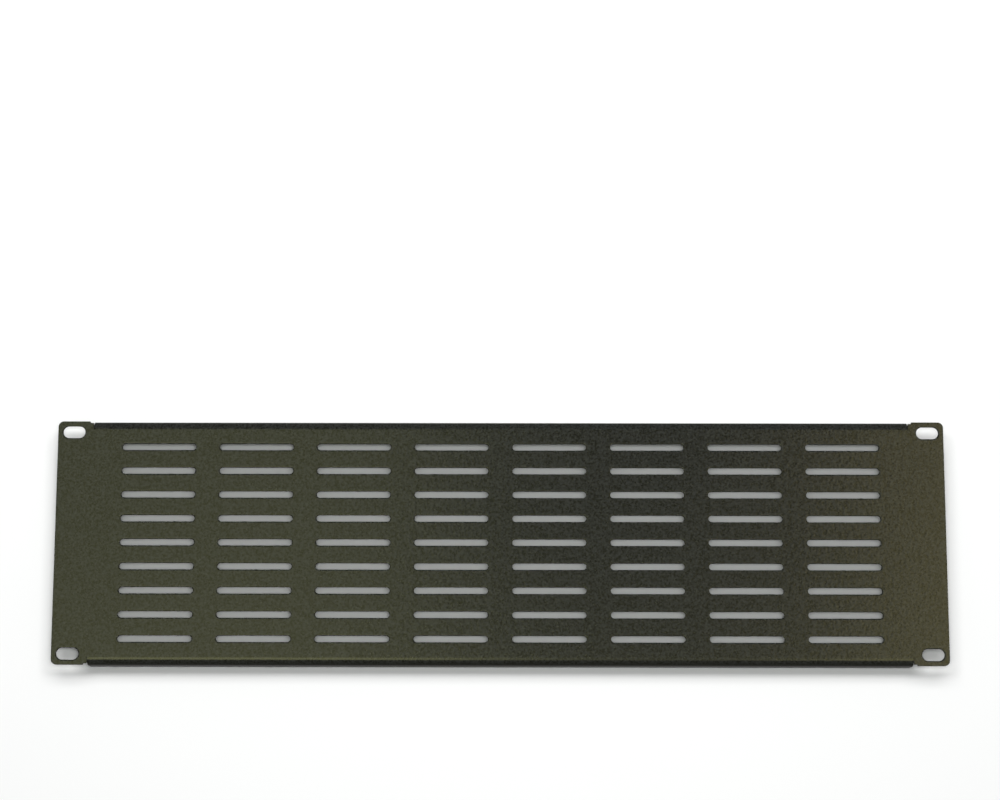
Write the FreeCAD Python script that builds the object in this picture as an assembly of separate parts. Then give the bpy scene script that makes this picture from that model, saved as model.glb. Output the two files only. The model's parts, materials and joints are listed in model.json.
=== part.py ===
# Vented blanking panel, three rack units high, for a 19-inch equipment rack.
#
# The panel is one steel sheet. Its flat face carries a field of obround vent slots. The face
# runs out at both sides into two flat ears, and each ear has two obround slots for the rack's
# screws. Between the ears the sheet is folded back along the top and the bottom, which makes
# the thin face stiff.
#
# Frame: +Z up, +X to the right for someone in front of the rack, and the face looks along -Y.
# The plane Y = 0 is the back of the ears, where the panel bears on the rack's rails, and the
# origin is the centre of the four mounting slots. All lengths are in millimetres.

import FreeCAD, Part
import math
import os

# ---- the sheet and its outline -------------------------------------------------------------
sheet_thickness = 1.5
panel_width = 482.6            # the rack standard's 19 inches, over both ears
rack_unit = 44.45
units_high = 3
panel_height_allowance = 0.79  # taken off whole rack units so that neighbouring panels clear
ear_corner_radius = 3.0

# ---- the folds at the top and the bottom ---------------------------------------------------
ear_width = 19.4               # from the panel's side to the end of a fold
flange_depth = 15.0            # from the front of the face to the fold's free edge
bend_inner_radius = 3.0
flange_corner_radius = 2.0     # at both ends of each free edge

# ---- the relief between a fold's end and the ear -------------------------------------------
rip_gap = 0.1                  # the slit that frees the bend from the ear
notch_width = 1.9              # the notch in the ear's edge where the slit starts
notch_depth = 0.85
notch_radius = 0.5             # in the notch's inner corner

# ---- the mounting slots in the ears --------------------------------------------------------
mount_slot_length = 12.0
mount_slot_height = 6.5
mount_inset_x = 8.74           # from the panel's side to a slot's centre
mount_inset_z = 6.35           # from the edge of the whole rack units to a slot's centre

# ---- the vent slots in the face ------------------------------------------------------------
vent_slot_length = 40.0
vent_slot_height = 3.5
bridge_between_columns = 13.12  # the metal left between the ends of two slots
bridge_between_rows = 9.56      # the metal left between two slots, one above the other
side_margin = 12.0              # least metal between the field and a fold's end
edge_margin = 7.0               # least metal between the field and a bend

cut_overrun = 1.0               # how far every cutter runs past the sheet

# ---- worked out from the values above ------------------------------------------------------
panel_height = units_high * rack_unit - panel_height_allowance
half_width = panel_width / 2
half_height = panel_height / 2
face_front = -sheet_thickness
flange_length = panel_width - 2 * ear_width
half_flange = flange_length / 2
bend_outer_radius = bend_inner_radius + sheet_thickness
bend_line = half_height - bend_outer_radius     # height at which the face starts to curve
flange_rear = face_front + flange_depth


def prism(edges, direction):
    """The solid made by pushing a closed chain of edges along a direction."""
    wire = Part.Wire(Part.__sortEdges__(edges))
    return Part.Face(wire).extrude(direction)


def fold_path(depth):
    """The folded sheet's profile, at one depth under its outer skin, from free edge to free edge.

    It lies in the plane at the left end of the folds. The two bends are true arcs round the same
    centres at every depth, so that the sheet keeps its thickness all the way round.
    """
    radius = bend_outer_radius - depth
    centre_y = face_front + bend_outer_radius
    skin_y = face_front + depth
    skin_z = half_height - depth
    halfway = radius * math.sqrt(0.5)

    def point(y, z):
        return FreeCAD.Vector(-half_flange, y, z)

    edges = [Part.LineSegment(point(skin_y, -bend_line), point(skin_y, bend_line)).toShape()]
    for side in (1, -1):
        edges.append(Part.Arc(
            point(skin_y, side * bend_line),
            point(centre_y - halfway, side * (bend_line + halfway)),
            point(centre_y, side * skin_z),
        ).toShape())
        edges.append(Part.LineSegment(
            point(centre_y, side * skin_z), point(flange_rear, side * skin_z)).toShape())
    return edges


def folded_stretch():
    """The face between the ears with its two folds, and the rounded ends of their free edges."""
    free_edges = [
        Part.LineSegment(
            FreeCAD.Vector(-half_flange, flange_rear, side * half_height),
            FreeCAD.Vector(-half_flange, flange_rear, side * (half_height - sheet_thickness)),
        ).toShape()
        for side in (1, -1)
    ]
    profile = fold_path(0) + fold_path(sheet_thickness) + free_edges
    channel = prism(profile, FreeCAD.Vector(flange_length, 0, 0))
    corners = [
        edge for edge in channel.Edges
        if abs(edge.BoundBox.XLength) < 1e-6
        and abs(edge.BoundBox.YLength) < 1e-6
        and abs(edge.BoundBox.YMin - flange_rear) < 1e-6
    ]
    return channel.makeFillet(flange_corner_radius, corners)


def block(x_low, x_high, z_low, z_high, overrun=0.0):
    """A plain block as deep as the sheet is thick, or deeper on both sides by the overrun."""
    corner = FreeCAD.Vector(x_low, face_front - overrun, z_low)
    return Part.makeBox(x_high - x_low, sheet_thickness + 2 * overrun, z_high - z_low, corner)


def round_corners(sheet, x, z, radius):
    """Rounds the sheet's four corners that lie at these distances from its middle."""
    corners = [
        edge for edge in sheet.Edges
        if edge.BoundBox.YLength > sheet_thickness / 2
        and abs(abs(edge.BoundBox.Center.x) - x) < 1e-6
        and abs(abs(edge.BoundBox.Center.z) - z) < 1e-6
    ]
    return sheet.makeFillet(radius, corners)


def flat_stretch():
    """The flat sheet: face and ears in one, cut back to the bend lines where the folds go.

    A shallow notch in the ear's edge takes the corner off beside each of the four slits.
    """
    slit_side = half_flange + rip_gap
    notch_side = slit_side + notch_width
    notch_floor = half_height - notch_depth
    top = half_height + cut_overrun
    sheet = block(-half_width, half_width, -half_height, half_height).cut(Part.makeCompound([
        block(-slit_side, slit_side, bend_line, top, cut_overrun),
        block(-slit_side, slit_side, -top, -bend_line, cut_overrun),
    ]))
    sheet = sheet.cut(Part.makeCompound([
        block(-notch_side, notch_side, notch_floor, top, cut_overrun),
        block(-notch_side, notch_side, -top, -notch_floor, cut_overrun),
    ]))
    sheet = round_corners(sheet, half_width, half_height, ear_corner_radius)
    return round_corners(sheet, notch_side, notch_floor, notch_radius)


def obround(length, height, x, z):
    """A cutter for one slot with fully round ends, centred on x and z and lying along X."""
    radius = height / 2
    straight = length / 2 - radius
    y = face_front - cut_overrun

    def point(dx, dz):
        return FreeCAD.Vector(x + dx, y, z + dz)

    edges = []
    for side in (1, -1):
        edges.append(Part.LineSegment(
            point(-straight, side * radius), point(straight, side * radius)).toShape())
        edges.append(Part.Arc(
            point(side * straight, radius),
            point(side * length / 2, 0),
            point(side * straight, -radius),
        ).toShape())
    return prism(edges, FreeCAD.Vector(0, sheet_thickness + 2 * cut_overrun, 0))


def centred_places(count, pitch):
    """Places of evenly spaced things, with their middle at zero."""
    return [(i - (count - 1) / 2) * pitch for i in range(count)]


def mounting_slots():
    """The four slots for the rack's screws, at the standard's places for this height."""
    x = half_width - mount_inset_x
    z = units_high * rack_unit / 2 - mount_inset_z
    return [
        obround(mount_slot_length, mount_slot_height, side_x * x, side_z * z)
        for side_x in (-1, 1) for side_z in (-1, 1)
    ]


def vent_slots():
    """The field of vent slots: as many as the face holds with its margins, centred on it."""
    pitch_x = vent_slot_length + bridge_between_columns
    pitch_z = vent_slot_height + bridge_between_rows
    columns = int((flange_length - 2 * side_margin + bridge_between_columns) / pitch_x)
    rows = int((2 * bend_line - 2 * edge_margin + bridge_between_rows) / pitch_z)
    print(f"vent field: {columns} columns by {rows} rows")
    return [
        obround(vent_slot_length, vent_slot_height, x, z)
        for x in centred_places(columns, pitch_x) for z in centred_places(rows, pitch_z)
    ]


def blanking_panel():
    """The whole panel: flat sheet and folds in one piece, then every slot punched through."""
    sheet = flat_stretch().fuse(folded_stretch()).removeSplitter()
    return sheet.cut(Part.makeCompound(mounting_slots() + vent_slots()))


panel = blanking_panel()
os.makedirs("parts", exist_ok=True)
panel.Solids[0].exportStep("parts/blanking_panel.step")
print(f"blanking_panel: {len(panel.Solids)} solid, valid {panel.isValid()}, "
      f"{panel.Volume / 1000:.1f} cm3, {len(panel.Faces)} faces")
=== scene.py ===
# %% [markdown]
# # Dressing a folded steel panel
#
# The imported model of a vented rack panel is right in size, but its round ends are made of a few
# facets and its edges are as sharp as a drawing. A real panel is punched, folded and then
# powder coated, so every edge is a little round and the whole skin has a fine grain. The packed
# mesh could be rounded as it is, but it is made of loose triangles, and a bevel would pull them
# apart. So the same sheet is modelled again here, one slot at a time, and then given its coat,
# its light and its camera.
#
# The frame comes first. It says how large the panel is and where its mounting slots are, so
# nothing has to be fitted afterwards.

# %% Load the frame
import json
import math

import bmesh
import bpy
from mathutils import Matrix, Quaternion, Vector


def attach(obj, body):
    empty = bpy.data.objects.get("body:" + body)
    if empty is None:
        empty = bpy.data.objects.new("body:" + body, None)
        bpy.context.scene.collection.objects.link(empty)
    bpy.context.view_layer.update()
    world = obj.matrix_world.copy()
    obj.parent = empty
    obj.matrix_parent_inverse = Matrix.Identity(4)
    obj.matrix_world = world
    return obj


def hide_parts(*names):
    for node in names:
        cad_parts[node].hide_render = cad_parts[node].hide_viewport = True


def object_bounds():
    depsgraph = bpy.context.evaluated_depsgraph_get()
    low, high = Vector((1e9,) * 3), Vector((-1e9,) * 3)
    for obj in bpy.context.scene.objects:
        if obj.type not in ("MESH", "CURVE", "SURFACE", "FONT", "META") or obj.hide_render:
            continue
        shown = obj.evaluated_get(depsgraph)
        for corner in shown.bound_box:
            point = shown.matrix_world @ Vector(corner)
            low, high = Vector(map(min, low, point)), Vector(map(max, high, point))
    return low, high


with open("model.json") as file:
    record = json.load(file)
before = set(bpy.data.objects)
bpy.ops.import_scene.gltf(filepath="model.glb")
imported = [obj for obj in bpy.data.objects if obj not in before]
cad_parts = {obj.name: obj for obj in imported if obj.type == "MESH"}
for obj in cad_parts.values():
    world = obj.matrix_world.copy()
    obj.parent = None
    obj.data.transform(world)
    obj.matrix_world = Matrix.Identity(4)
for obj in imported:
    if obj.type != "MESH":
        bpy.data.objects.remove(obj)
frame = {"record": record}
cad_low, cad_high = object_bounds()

MM = 0.001
print("the panel is", [round(side / MM, 2) for side in cad_high - cad_low], "mm in all")

# %% [markdown]
# ## The sheet
#
# Blender counts in metres, so a size in millimetres is multiplied by MM. The outer sizes could
# be typed in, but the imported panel's box has them already. The back of the ears lies at Y = 0,
# so the sheet's thickness is how far the box reaches in front of that. All other sizes are
# named where they are first needed.

# %% Measure the sheet
front = cad_low.y
thickness = -front
half_width = cad_high.x
half_height = cad_high.z
flange_rear = cad_high.y
print("the sheet is", round(thickness / MM, 2), "mm thick, and its folds reach",
      round(flange_rear / MM, 2), "mm back from the ears")

# %% [markdown]
# ## Starting a piece and selecting in it
#
# Modelling by hand means to select something and then to use a tool on it. In code the eye is
# replaced by a test on each vertex's place. `pick` selects the vertices that pass such a test,
# and with `among` it looks only at vertices that were noted before, such as those that an
# extrude has just made. Everything is deselected before each new piece, because an operator
# acts on all that is selected.

# %% Helpers to start and to select
NEAR = 0.01 * MM
QUARTER_TURN = math.radians(90)
UPRIGHT = (QUARTER_TURN, 0, 0)


def add_plane(name, length, height):
    """A new rectangle in the plane of the panel's face, centred, left in edit mode."""
    if bpy.context.object and bpy.context.object.mode == "EDIT":
        bpy.ops.object.mode_set(mode="OBJECT")
    bpy.ops.object.select_all(action="DESELECT")
    bpy.ops.mesh.primitive_plane_add(size=1, location=(0, front, 0), rotation=UPRIGHT)
    plane = bpy.context.object
    plane.name = name
    plane.scale = (length, height, 1)
    bpy.ops.object.transform_apply(location=True, rotation=True, scale=True)
    bpy.ops.object.mode_set(mode="EDIT")
    bpy.ops.mesh.select_mode(type="VERT")
    return plane


def picked():
    """The numbers of the vertices that are selected now."""
    form = bmesh.from_edit_mesh(bpy.context.object.data)
    form.verts.index_update()
    return {vertex.index for vertex in form.verts if vertex.select}


def pick(test, among=None):
    """Selects the vertices whose place passes the test, with the edges and faces between them."""
    mesh = bpy.context.object.data
    form = bmesh.from_edit_mesh(mesh)
    form.verts.index_update()
    for vertex in form.verts:
        vertex.select = (among is None or vertex.index in among) and test(vertex.co)
    form.select_mode = {"VERT"}
    form.select_flush_mode()
    bmesh.update_edit_mesh(mesh)
    return picked()


print("two places count as one within", round(NEAR / MM, 3), "mm")

# %% [markdown]
# ## One slot and its cell
#
# A punched slot is an obround: two half circles joined by straight sides. It could be cut with
# a boolean, but that leaves long thin triangles between the holes, and a bevel on them tears.
# So each slot gets its own cell of four-sided faces. A plane the size of the slot and a narrow
# collar has its four corners rounded until the short sides vanish. The face is inset to leave
# the collar, and the middle is deleted, which is the punch. The outer ring is then extruded,
# and its parts are flattened onto the four sides of a rectangle.

# %% A slot with a square cell round it
QUARTER_STEPS = 8
COLLAR = 0.8 * MM


def extrude(x=0.0, y=0.0, z=0.0):
    """Extrudes what is selected along a direction, and returns the new vertices' numbers."""
    bpy.ops.mesh.extrude_region_move(TRANSFORM_OT_translate={"value": (x, y, z)})
    return picked()


def flatten(axis, place):
    """Scales what is selected to nothing along one axis, so that it lies at one place there."""
    scale = [0.0 if i == axis else 1.0 for i in range(3)]
    centre = [place if i == axis else 0.0 for i in range(3)]
    bpy.ops.transform.resize(value=scale, center_override=centre)


def slot_cell(name, length, height, left, right, bottom, top):
    """A flat cell of quads with an obround hole at its origin, and sides at the given places."""
    outer_radius = height / 2 + COLLAR
    straight = (length - height) / 2
    halfway = outer_radius * math.sqrt(0.5) - NEAR
    cell = add_plane(name, length + 2 * COLLAR, height + 2 * COLLAR)

    bpy.ops.mesh.select_all(action="SELECT")
    bpy.ops.mesh.bevel(offset=outer_radius, segments=QUARTER_STEPS, affect="VERTICES")
    bpy.ops.mesh.select_all(action="SELECT")
    bpy.ops.mesh.remove_doubles(threshold=NEAR)
    bpy.ops.mesh.inset(thickness=COLLAR)
    bpy.ops.mesh.delete(type="ONLY_FACE")

    pick(lambda p: math.hypot(max(abs(p.x) - straight, 0), p.z) > outer_radius - COLLAR / 2)
    ring = extrude()
    for axis, place, test in (
        (2, top, lambda p: p.z > halfway),
        (2, bottom, lambda p: p.z < -halfway),
        (0, right, lambda p: p.x > straight + halfway),
        (0, left, lambda p: p.x < -straight - halfway),
    ):
        pick(test, among=ring)
        flatten(axis, place)
    bpy.ops.object.mode_set(mode="OBJECT")
    print(name, "has", len(cell.data.polygons), "faces")
    return cell


# %% [markdown]
# ## A quarter of the vent field
#
# The face has eight columns and nine rows of long slots, for air. All of them could be made one
# by one, but the panel is the same left and right, and the same above and below, so one quarter
# is enough. The cell moves half a pitch to the right, because the panel's middle lies between
# two columns.

# %% Make the vent cell
vent_slot_length = 40.0 * MM
vent_slot_height = 3.5 * MM
metal_between_columns = 13.12 * MM
metal_between_rows = 9.56 * MM
vent_pitch_x = vent_slot_length + metal_between_columns
vent_pitch_z = vent_slot_height + metal_between_rows

quarter = slot_cell(
    "vent_quarter", vent_slot_length, vent_slot_height,
    -vent_pitch_x / 2, vent_pitch_x / 2, -vent_pitch_z / 2, vent_pitch_z / 2)
bpy.ops.object.mode_set(mode="EDIT")
bpy.ops.mesh.select_all(action="SELECT")
bpy.ops.transform.translate(value=(vent_pitch_x / 2, 0, 0))
bpy.ops.object.mode_set(mode="OBJECT")

# %% [markdown]
# Two Array modifiers repeat the cell, first along the row and then upwards. They merge the
# borders that touch, so the copies make one skin. The panel's middle runs through a row of
# slots, so the lower half of that row is deleted.

# %% Repeat the vent cell
vent_columns = 8
vent_rows = 9


def apply_modifier(piece, kind, **settings):
    """Adds a modifier with these settings and applies it at once."""
    bpy.ops.object.select_all(action="DESELECT")
    bpy.context.view_layer.objects.active = piece
    piece.select_set(True)
    modifier = piece.modifiers.new(kind.lower(), kind)
    for name, value in settings.items():
        setattr(modifier, name, value)
    bpy.ops.object.modifier_apply(modifier=modifier.name)


for step, count in (
    ((vent_pitch_x, 0, 0), vent_columns // 2),
    ((0, 0, vent_pitch_z), (vent_rows + 1) // 2),
):
    apply_modifier(
        quarter, "ARRAY", count=count, use_relative_offset=False, use_constant_offset=True,
        constant_offset_displace=step, use_merge_vertices=True, merge_threshold=NEAR)

bpy.ops.object.mode_set(mode="EDIT")
pick(lambda p: p.z < -NEAR)
bpy.ops.mesh.delete(type="VERT")
print("a quarter of the field has", len(quarter.data.polygons), "faces before the cut")

# %% [markdown]
# ## Out to the bend and to the fold's end
#
# Round the field the face is plain sheet, up to the line where it starts to bend and out to
# where the folds end. It could be a frame of new faces, but it only has to carry on what is
# there. So the field's upper and right borders are extruded together, in place, and then pushed
# out, the upper one to the bend line and the right one to the fold's end.

# %% Reach the bend line and the fold's end
ear_width = 19.4 * MM
bend_inner_radius = 3.0 * MM
half_flange = half_width - ear_width
bend_radius = bend_inner_radius + thickness
bend_line = half_height - bend_radius
field_right = vent_pitch_x * vent_columns / 2
field_top = vent_pitch_z * vent_rows / 2

pick(lambda p: p.x > field_right - NEAR or p.z > field_top - NEAR)
border = extrude()
pick(lambda p: p.z > field_top - NEAR, among=border)
bpy.ops.transform.translate(value=(0, 0, bend_line - field_top))
pick(lambda p: p.x > field_right - NEAR, among=border)
bpy.ops.transform.translate(value=(half_flange - field_right, 0, 0))
print("the bend starts", round(bend_line / MM, 2), "mm above the middle, and the fold ends",
      round(half_flange / MM, 2), "mm to the side")

# %% [markdown]
# ## The fold
#
# On a press brake the sheet turns about the die's edge, and that fold is what makes a thin
# panel stiff. A bevel on a sharp corner could stand in for it. Spin is nearer to the real
# thing: it takes the upper border a quarter turn round a line that runs along the panel, one
# bend radius behind the face, so the arc is true. One more extrude makes the flange, and a
# bevel on one vertex rounds its free corner.

# %% Fold the flange
BEND_STEPS = 12
FLANGE_CORNER_STEPS = 6
flange_corner_radius = 2.0 * MM

pick(lambda p: p.z > bend_line - NEAR)
bpy.ops.mesh.spin(
    steps=BEND_STEPS, angle=QUARTER_TURN, axis=(1, 0, 0),
    center=(0, front + bend_radius, bend_line))
fold_top = pick(lambda p: p.z > half_height - NEAR)
extrude(y=flange_rear - (front + bend_radius))
pick(lambda p: p.y > flange_rear - NEAR and p.x > half_flange - NEAR)
bpy.ops.mesh.bevel(
    offset=flange_corner_radius, segments=FLANGE_CORNER_STEPS, affect="VERTICES")
bpy.ops.object.mode_set(mode="OBJECT")
print("bend made of", BEND_STEPS, "steps,", len(fold_top), "vertices along its end")

# %% [markdown]
# ## The ear
#
# Beyond the folds the sheet stays flat and makes an ear, which a screw holds to the rack. Its
# slot gets the same kind of cell as a vent slot. The cell reaches from the notch beside the
# fold to the panel's side, and from the top edge to as far under the mounting slot. Its lower
# border is extruded down to the panel's middle.
#
# A bevel on a single vertex rounds a corner of the outline. The edge that runs inwards from the
# corner is dissolved first, because a bevel would cut it back as well.

# %% Model half an ear
mount_dims = frame["record"]["mounts"][0]["dims"]
mount_x = mount_dims["spacing_x_mm"] / 2 * MM
mount_z = mount_dims["spacing_y_mm"] / 2 * MM
mount_slot_length = mount_dims["slot_length_mm"] * MM
mount_slot_height = 2 * mount_dims["hole_r_mm"] * MM
mount_reach = half_height - mount_z
ear_corner_radius = 3.0 * MM
rip_gap = 0.1 * MM
notch_width = 1.9 * MM
slit_side = half_flange + rip_gap
notch_side = slit_side + notch_width


def round_corner(corner, inner_end, radius, segments):
    """Dissolves the edge from a corner to its inner end, and rounds the corner."""
    pick(lambda p: (p - corner).length < NEAR or (p - inner_end).length < NEAR)
    bpy.ops.mesh.dissolve_edges(use_verts=False)
    pick(lambda p: (p - corner).length < NEAR)
    bpy.ops.mesh.bevel(offset=radius, segments=segments, affect="VERTICES")


ear = slot_cell(
    "ear_quarter", mount_slot_length, mount_slot_height,
    notch_side - mount_x, half_width - mount_x, -mount_reach, mount_reach)
bpy.ops.object.mode_set(mode="EDIT")
bpy.ops.mesh.select_all(action="SELECT")
bpy.ops.transform.translate(value=(mount_x, 0, mount_z))

pick(lambda p: p.z < mount_z - mount_reach + NEAR)
extrude(z=mount_reach - mount_z)

collar_radius = mount_slot_height / 2 + COLLAR
collar_reach = collar_radius * math.sqrt(0.5)
collar_x = mount_x + (mount_slot_length - mount_slot_height) / 2 + collar_reach
round_corner(
    Vector((half_width, front, half_height)),
    Vector((collar_x, front, mount_z + collar_reach)), ear_corner_radius, QUARTER_STEPS)

# %% [markdown]
# ## The notch
#
# Beside each fold's end the sheet is ripped down to the bend line, and a shallow notch keeps
# the rip from running into the ear. Both could be cut out of a larger ear, but it is cleaner to
# leave them standing open. The cell's inner side is extruded to the slit, though only up to the
# notch's floor. The vertices of that side came from the steps of the collar. So a new one is
# put in above the last of them and moved to the floor's height, and the one nearest the bend
# line, where the slit ends, is moved onto it.

# %% Leave the notch open
notch_depth = 0.85 * MM
notch_radius = 0.5 * MM
notch_floor = half_height - notch_depth


def move_to_height(height, near_x, test):
    """Moves the vertex of an upright border that lies nearest a height to exactly that height."""
    mesh = bpy.context.object.data
    form = bmesh.from_edit_mesh(mesh)
    border = [v for v in form.verts if abs(v.co.x - near_x) < NEAR and test(v.co)]
    min(border, key=lambda v: abs(v.co.z - height)).co.z = height
    bmesh.update_edit_mesh(mesh)


step_angle = QUARTER_TURN / QUARTER_STEPS
last_step = mount_z + collar_radius * math.sin(QUARTER_TURN / 2 - step_angle)
pick(lambda p: abs(p.x - notch_side) < NEAR and p.z > last_step - NEAR)
bpy.ops.mesh.subdivide(number_cuts=1)
move_to_height(notch_floor, notch_side, lambda p: last_step + NEAR < p.z < half_height - NEAR)
move_to_height(bend_line, notch_side, lambda p: p.z < last_step - NEAR)
pick(lambda p: abs(p.x - notch_side) < NEAR and p.z < notch_floor + NEAR)
extrude(x=-notch_width)
round_corner(
    Vector((notch_side, front, notch_floor)),
    Vector((notch_side, front, last_step)), notch_radius, QUARTER_STEPS // 2)
bpy.ops.object.mode_set(mode="OBJECT")
print("half an ear has", len(ear.data.polygons), "faces")

# %% [markdown]
# ## Joining the ear to the face
#
# The sheet is in one piece, so the ear has to grow onto the face. The face ends at the fold's
# end and the ear starts behind the slit, 0.1 mm further out. The gap could be filled face by
# face. Bridge Edge Loops fills it in one step, and it pairs vertices best when both sides have
# the same number, so the ear's one long inner edge is first divided.

# %% Bridge the ear and the face
bpy.ops.object.select_all(action="DESELECT")
ear.select_set(True)
quarter.select_set(True)
bpy.context.view_layer.objects.active = quarter
bpy.ops.object.join()
bpy.ops.object.mode_set(mode="EDIT")


def on_face_side(p):
    """Whether a place is on the side of the flat face, below the fold."""
    return abs(p.x - half_flange) < NEAR and p.z < bend_line + NEAR


def on_ear_side(p):
    """Whether a place is on the ear's inner side, below the slit."""
    return abs(p.x - slit_side) < NEAR and p.z < bend_line + NEAR


missing = len(pick(on_face_side)) - len(pick(on_ear_side))
pick(lambda p: on_ear_side(p) and p.z < mount_z - mount_reach + NEAR)
bpy.ops.mesh.subdivide(number_cuts=missing)
pick(lambda p: on_face_side(p) or on_ear_side(p))
bpy.ops.mesh.bridge_edge_loops()
bpy.ops.object.mode_set(mode="OBJECT")
print("bridged, with", missing, "vertices added to the ear's side")

# %% [markdown]
# ## The whole sheet
#
# Mirror makes the other three quarters. The sheet's back could be modelled like its front, but
# Solidify makes it from the same skin: the face's normals point to the front, so the wall grows
# towards the back, with even thickness round the bends. It closes the open rims as well, such
# as the slots' walls.

# %% Mirror and thicken
apply_modifier(quarter, "MIRROR", use_axis=(True, False, True), merge_threshold=NEAR)
quarter.name = quarter.data.name = "coated_panel"
panel = quarter

bpy.ops.object.mode_set(mode="EDIT")
bpy.ops.mesh.select_all(action="SELECT")
bpy.ops.mesh.remove_doubles(threshold=NEAR / 2)
bpy.ops.mesh.normals_make_consistent(inside=False)
bpy.ops.object.mode_set(mode="OBJECT")
if sum(face.area * face.normal.y for face in panel.data.polygons) > 0:
    panel.data.flip_normals()

apply_modifier(
    panel, "SOLIDIFY", thickness=thickness, offset=-1, use_even_offset=True,
    use_quality_normals=True)
print("the sharp-edged sheet has", len(panel.data.polygons), "faces")

# %% [markdown]
# ## Soft edges
#
# A punch pulls the front edge of each hole round, and the coat flows over every edge and rounds
# it further. Such a rim shows as a thin dark line under each slot and a pale one over it. A
# Bevel modifier that goes by angle would give all edges one width, and the narrow slit has no
# room for it. Bevel weights say instead how much of the width each edge takes: a slot's front
# edge takes all of it, the outline and the back edges take less, the slit hardly any, and the
# slit's closed end none.

# %% Weigh the edges
SLOT_ROUND = 0.55 * MM
OUTLINE_ROUND = 0.32 * MM
BACK_ROUND = 0.22 * MM
SLIT_ROUND = 0.08 * MM
SHARP_ANGLE = math.radians(40)


def edge_round(middle):
    """How far the edge with this middle is rounded."""
    x, z = abs(middle.x), abs(middle.z)
    if half_flange - NEAR < x < slit_side + NEAR and z < notch_floor - NEAR:
        return SLIT_ROUND if z > bend_line + NEAR else 0.0
    if abs(middle.y - front) > NEAR and z < half_height - NEAR:
        return BACK_ROUND
    in_field = x < field_right - NEAR and z < field_top - NEAR
    in_mount = (abs(x - mount_x) < mount_slot_length / 2 + NEAR
                and abs(z - mount_z) < mount_slot_height / 2 + NEAR)
    return SLOT_ROUND if in_field or in_mount else OUTLINE_ROUND


form = bmesh.new()
form.from_mesh(panel.data)
weights = form.edges.layers.float.new("bevel_weight_edge")
rounded = 0
for edge in form.edges:
    if edge.calc_face_angle(0) > SHARP_ANGLE:
        edge[weights] = edge_round((edge.verts[0].co + edge.verts[1].co) / 2) / SLOT_ROUND
        rounded += 1
form.to_mesh(panel.data)
volume = form.calc_volume(signed=True) / MM ** 3
open_edges = sum(not edge.is_manifold for edge in form.edges)
form.free()
print(f"{rounded} edges to round, volume {volume / 1000:.2f} cm3, {open_edges} open edges")

# %% [markdown]
# The bevel turns each weighed edge into three narrow faces. Smooth shading blends them, and
# weighted normals keep the large faces flat beside them. Then the panel is finished, and two
# lines say what it is in the frame: it moves with the root body, and it is seen in place of the
# packed panel. Its material, the one called panel_coat, is made and given to it below.

# %% Round the edges
ROUND_STEPS = 3
apply_modifier(
    panel, "BEVEL", width=SLOT_ROUND, segments=ROUND_STEPS, limit_method="WEIGHT",
    use_clamp_overlap=False, miter_outer="MITER_SHARP")
bpy.ops.object.shade_smooth_by_angle(angle=SHARP_ANGLE)
apply_modifier(panel, "WEIGHTED_NORMAL", weight=60, keep_sharp=True)
print("the coated panel has", len(panel.data.polygons), "faces")

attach(panel, "root")
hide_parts("blanking_panel")

# %% [markdown]
# ## The powder coat
#
# The coat is nearly black with a touch of olive, and satin. Powder melts into a skin with a
# fine grain, about as coarse as salt. A picture of such a skin could be laid over the panel,
# but it would repeat and stretch, so the grain is worked out instead. A fine noise and slightly
# larger round cells add up to the bump. The same noise changes the colour, and a slow cloud
# changes the gloss a little, because no coat is even all over. All of it reads Object
# coordinates, so that the grain has its real size.

# %% Make the coat's material


def add_node(tree, kind, place, **settings):
    """A new node at a place in the editor, with its own settings and input values."""
    node = tree.nodes.new(kind)
    node.location = place
    for name, value in settings.items():
        if hasattr(node, name):
            setattr(node, name, value)
        else:
            node.inputs[name.replace("_", " ")].default_value = value
    return node


def powder_coat():
    """Very dark olive powder coat with a fine grain."""
    material = bpy.data.materials.new("panel_coat")
    material.use_nodes = True
    tree = material.node_tree
    link = tree.links.new
    shader = tree.nodes["Principled BSDF"]
    place = add_node(tree, "ShaderNodeTexCoord", (-1200, 0)).outputs["Object"]

    grain = add_node(tree, "ShaderNodeTexNoise", (-900, -200), Scale=900.0, Detail=3.0,
                     Roughness=0.6)
    lumps = add_node(tree, "ShaderNodeTexVoronoi", (-900, -450), feature="SMOOTH_F1", Scale=620.0)
    cloud = add_node(tree, "ShaderNodeTexNoise", (-900, 200), Scale=14.0, Detail=4.0)
    for texture in (grain, lumps, cloud):
        link(place, texture.inputs["Vector"])

    colour = add_node(tree, "ShaderNodeValToRGB", (-500, 250))
    colour.color_ramp.elements[0].position = 0.32
    colour.color_ramp.elements[0].color = (0.0040, 0.0044, 0.0046, 1)
    colour.color_ramp.elements[1].position = 0.68
    colour.color_ramp.elements[1].color = (0.0268, 0.0282, 0.0286, 1)
    link(grain.outputs["Fac"], colour.inputs["Fac"])
    link(colour.outputs["Color"], shader.inputs["Base Color"])

    gloss = add_node(tree, "ShaderNodeMapRange", (-500, 0), To_Min=0.16, To_Max=0.22)
    link(cloud.outputs["Fac"], gloss.inputs["Value"])
    link(gloss.outputs["Result"], shader.inputs["Roughness"])

    height = add_node(tree, "ShaderNodeMath", (-500, -350), operation="ADD")
    link(grain.outputs["Fac"], height.inputs[0])
    link(lumps.outputs["Distance"], height.inputs[1])
    bump = add_node(tree, "ShaderNodeBump", (-250, -350), Strength=0.35, Distance=0.0001)
    link(height.outputs["Value"], bump.inputs["Height"])
    link(bump.outputs["Normal"], shader.inputs["Normal"])
    shader.inputs["IOR"].default_value = 1.5
    shader.inputs["Specular Tint"].default_value = (1.0, 1.0, 0.46, 1)
    return material


panel.data.materials.clear()
panel.data.materials.append(powder_coat())
print("coat:", [material.name for material in panel.data.materials])

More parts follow.
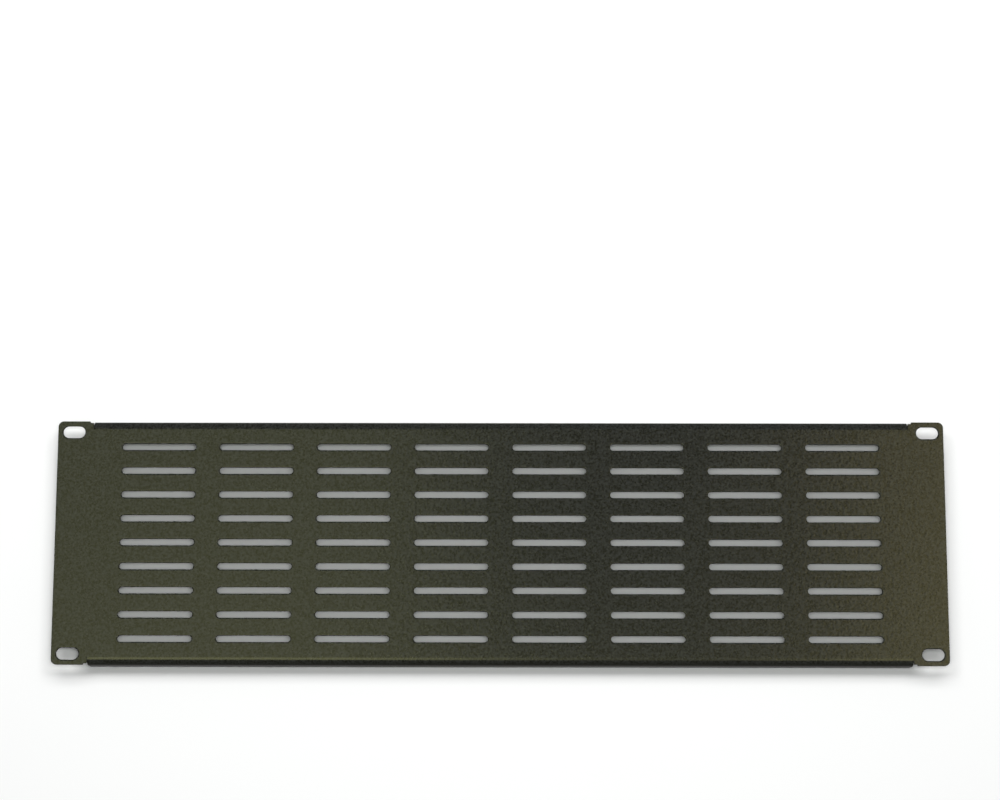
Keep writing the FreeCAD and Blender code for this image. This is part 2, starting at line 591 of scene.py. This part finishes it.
# %% [markdown]
# ## The stage
#
# A white background alone would leave the slots white and the panel without a shadow. So a pale
# wall stands right behind the folds' free edges, as close as a table top under a panel that
# lies on it. It gives the slots their grey and takes the soft shadow under the lower edge. A
# pale floor lies just under the panel. Both fade out into the white of the studio, so that no
# border or horizon shows, and both are seen from one side only, so that the panel can also be
# looked at from behind and from a little below.

# %% Build the floor and the wall
FLOOR_GAP = 0.3 * MM
WALL_GAP = 0.2 * MM


def pale_paint(name, near, far):
    """Pale paint that fades out between two distances from its middle, and has no back."""
    material = bpy.data.materials.new(name)
    material.use_nodes = True
    tree = material.node_tree
    tree.nodes.clear()
    place = add_node(tree, "ShaderNodeTexCoord", (-600, 300))
    reach = add_node(tree, "ShaderNodeVectorMath", (-400, 300), operation="LENGTH")
    fade = add_node(tree, "ShaderNodeMapRange", (-200, 300), interpolation_type="SMOOTHSTEP",
                    From_Min=near, From_Max=far)
    side = add_node(tree, "ShaderNodeNewGeometry", (-200, 600))
    hidden = add_node(tree, "ShaderNodeMath", (0, 300), operation="MAXIMUM")
    paint = add_node(tree, "ShaderNodeBsdfDiffuse", (0, 100), Color=(0.9, 0.9, 0.9, 1))
    clear = add_node(tree, "ShaderNodeBsdfTransparent", (0, -100))
    mix = add_node(tree, "ShaderNodeMixShader", (200, 0))
    output = add_node(tree, "ShaderNodeOutputMaterial", (400, 0))
    tree.links.new(place.outputs["Object"], reach.inputs[0])
    tree.links.new(reach.outputs["Value"], fade.inputs["Value"])
    tree.links.new(fade.outputs["Result"], hidden.inputs[0])
    tree.links.new(side.outputs["Backfacing"], hidden.inputs[1])
    tree.links.new(hidden.outputs["Value"], mix.inputs[0])
    tree.links.new(paint.outputs[0], mix.inputs[1])
    tree.links.new(clear.outputs[0], mix.inputs[2])
    tree.links.new(mix.outputs[0], output.inputs["Surface"])
    return material


def stage_plane(name, place, turn, near, far):
    """A plane of the stage, which isn't part of the object."""
    bpy.ops.object.select_all(action="DESELECT")
    bpy.ops.mesh.primitive_plane_add(size=2 * far, location=place, rotation=turn)
    plane = bpy.context.object
    plane.name = name
    plane.data.materials.append(pale_paint(name + "_paint", near, far))
    plane.visible_shadow = False
    plane.visible_diffuse = False
    plane.visible_glossy = False
    return plane


floor = stage_plane("floor", (0, 0, cad_low.z - FLOOR_GAP), (0, 0, 0), near=0.45, far=1.5)
wall = stage_plane("wall", (0, cad_high.y + WALL_GAP, 0), UPRIGHT, near=0.32, far=0.55)
print("stage:", floor.name, wall.name)

# %% [markdown]
# ## The white all round
#
# A backdrop of white paper could be modelled and lit, but it would throw its light on the panel
# as well. The world does it instead: Light Path tells the camera's rays from the others, so the
# camera sees plain white, and everything else gets only a dim and even light from all sides.

# %% Make the world


def pale_world():
    """A dim dome, plain white to the camera."""
    world = bpy.data.worlds.new("studio")
    world.use_nodes = True
    bpy.context.scene.world = world
    tree = world.node_tree
    tree.nodes.clear()
    output = add_node(tree, "ShaderNodeOutputWorld", (600, 0))
    mix = add_node(tree, "ShaderNodeMixShader", (400, 0))
    seen = add_node(tree, "ShaderNodeBackground", (200, -100), Color=(1, 1, 1, 1), Strength=1.2)
    dome = add_node(tree, "ShaderNodeBackground", (200, 100), Color=(1, 1, 1, 1), Strength=0.15)
    ray = add_node(tree, "ShaderNodeLightPath", (200, 400))
    tree.links.new(ray.outputs["Is Camera Ray"], mix.inputs[0])
    tree.links.new(dome.outputs[0], mix.inputs[1])
    tree.links.new(seen.outputs[0], mix.inputs[2])
    tree.links.new(mix.outputs[0], output.inputs["Surface"])


pale_world()
bpy.context.scene.view_settings.view_transform = "Standard"
print("world:", bpy.context.scene.world.name)

# %% [markdown]
# ## Light on the stage
#
# The light is plain and soft. Two key boxes hang high in front, one above the other. The lower
# one is the brighter, so the shadow that the panel throws down the wall is short and has a
# faint end. A small fill beside the camera reaches the wall through every slot, and a box
# overhead lights the floor. The coat mirrors none of these, which leaves the panel itself
# nearly black. The softbox behind the panel is the other way round: it lights nothing matt and
# is only mirrored, to give the panel's top edge and its back some shape.
#
# Each box is given by its radiance, which is how bright its surface looks, because a lamp's
# power would have to change with its size.

# %% Hang the softboxes


def softbox(name, place, size, radiance, colour=(1, 1, 1), diffuse=True, mirrored=True):
    """A soft area light aimed at the panel's middle, which the camera can't see.

    It lights matt surfaces and is mirrored in satin ones, unless one of the two is turned off.
    """
    data = bpy.data.lights.new(name, "AREA")
    data.shape = "RECTANGLE"
    data.size, data.size_y = size
    data.color = colour
    data.energy = radiance * math.pi * size[0] * size[1]
    lamp = bpy.data.objects.new(name, data)
    bpy.context.scene.collection.objects.link(lamp)
    lamp.location = place
    lamp.rotation_euler = (-Vector(place)).to_track_quat("-Z", "Y").to_euler()
    lamp.visible_camera = False
    lamp.visible_diffuse = diffuse
    lamp.visible_glossy = mirrored
    return lamp


softbox("key", (0, -1.47, 0.475), (1.49, 0.34), radiance=8.5, mirrored=False)
softbox("high_key", (0, -1.47, 0.86), (1.49, 0.385), radiance=4.85, mirrored=False)
softbox("fill", (0.03, -1.4, -0.125), (0.39, 0.245), radiance=22.3, colour=(0.97, 1.0, 0.975),
        mirrored=False)
softbox("overhead", (0, 0.9, 2.4), (2.4, 1.6), radiance=2.5, mirrored=False)
softbox("back", (1.3, 1.3, -0.3), (1.8, 1.2), radiance=1.0, diffuse=False)

# %% [markdown]
# ## What the coat mirrors
#
# Satin shows what stands in front of it, only blurred. The key and the fill could be mirrored
# too, but then the shading of the coat could not be set apart from the shadow on the wall. So
# the coat has its own things to mirror, and they light nothing else: a pale screen to the left,
# a warmer one to the right, and between them a dark gap, where someone with a camera stands.
# Lower screens put a thin line of light along the lower bend.
#
# Screens that overlap stand at different distances, because area lights in one plane hide a
# part of each other.

# %% Set up the screens
SCREENS_LEFT = -0.85
SCREENS_RIGHT = 0.9
SCREENS_BOTTOM = -1.5


def screen(name, distance, left, right, top, radiance, colour=(1, 1, 1)):
    """An upright screen in front of the panel that glows in the coat, but lights nothing else."""
    size = (right - left, top - SCREENS_BOTTOM)
    lamp = softbox(name, (0, -distance, 0), size, radiance, colour, diffuse=False)
    lamp.location = ((left + right) / 2, -distance, (SCREENS_BOTTOM + top) / 2)
    return lamp


screen("left_screen", 1.8, SCREENS_LEFT, -0.07, top=0.6, radiance=0.79, colour=(0.97, 1.0, 0.97))
screen("right_screen", 1.8, 0.46, SCREENS_RIGHT, top=0.6, radiance=1.43, colour=(1.0, 0.86, 0.75))
screen("low_screen", 1.75, SCREENS_LEFT, SCREENS_RIGHT, top=0.15, radiance=0.28)
screen("lowest_left_screen", 1.7, SCREENS_LEFT, -0.02, top=-0.35, radiance=1.15)
screen("lowest_right_screen", 1.7, 0.42, SCREENS_RIGHT, top=-0.35, radiance=0.6)

# %% [markdown]
# ## Camera
#
# A wide lens from nearby would show so long a panel in strong perspective, so a long lens is
# used, 1.4 m away. It stands a little below the panel and looks slightly up. The view is aimed
# a little above the panel's middle, so that the panel sits low in the picture, and the camera
# leans by a tenth of a degree, as one held by hand does.

# %% Place the camera
camera_data = bpy.data.cameras.new("camera")
camera_data.lens = 90.92
camera_data.sensor_width = 36.0
camera = bpy.data.objects.new("camera", camera_data)
bpy.context.scene.collection.objects.link(camera)
camera.location = (0.0053, -1.3591, -0.1726)
aim = Vector((-0.0003, -0.0015, 0.0784))
lean = Quaternion((0, 0, 1), math.radians(0.116))
camera.rotation_euler = ((aim - camera.location).to_track_quat("-Z", "Y") @ lean).to_euler()
camera_data.clip_start = 0.05
camera_data.clip_end = 30
bpy.context.scene.camera = camera
print("camera", round((camera.location - aim).length, 3), "m from what it looks at")
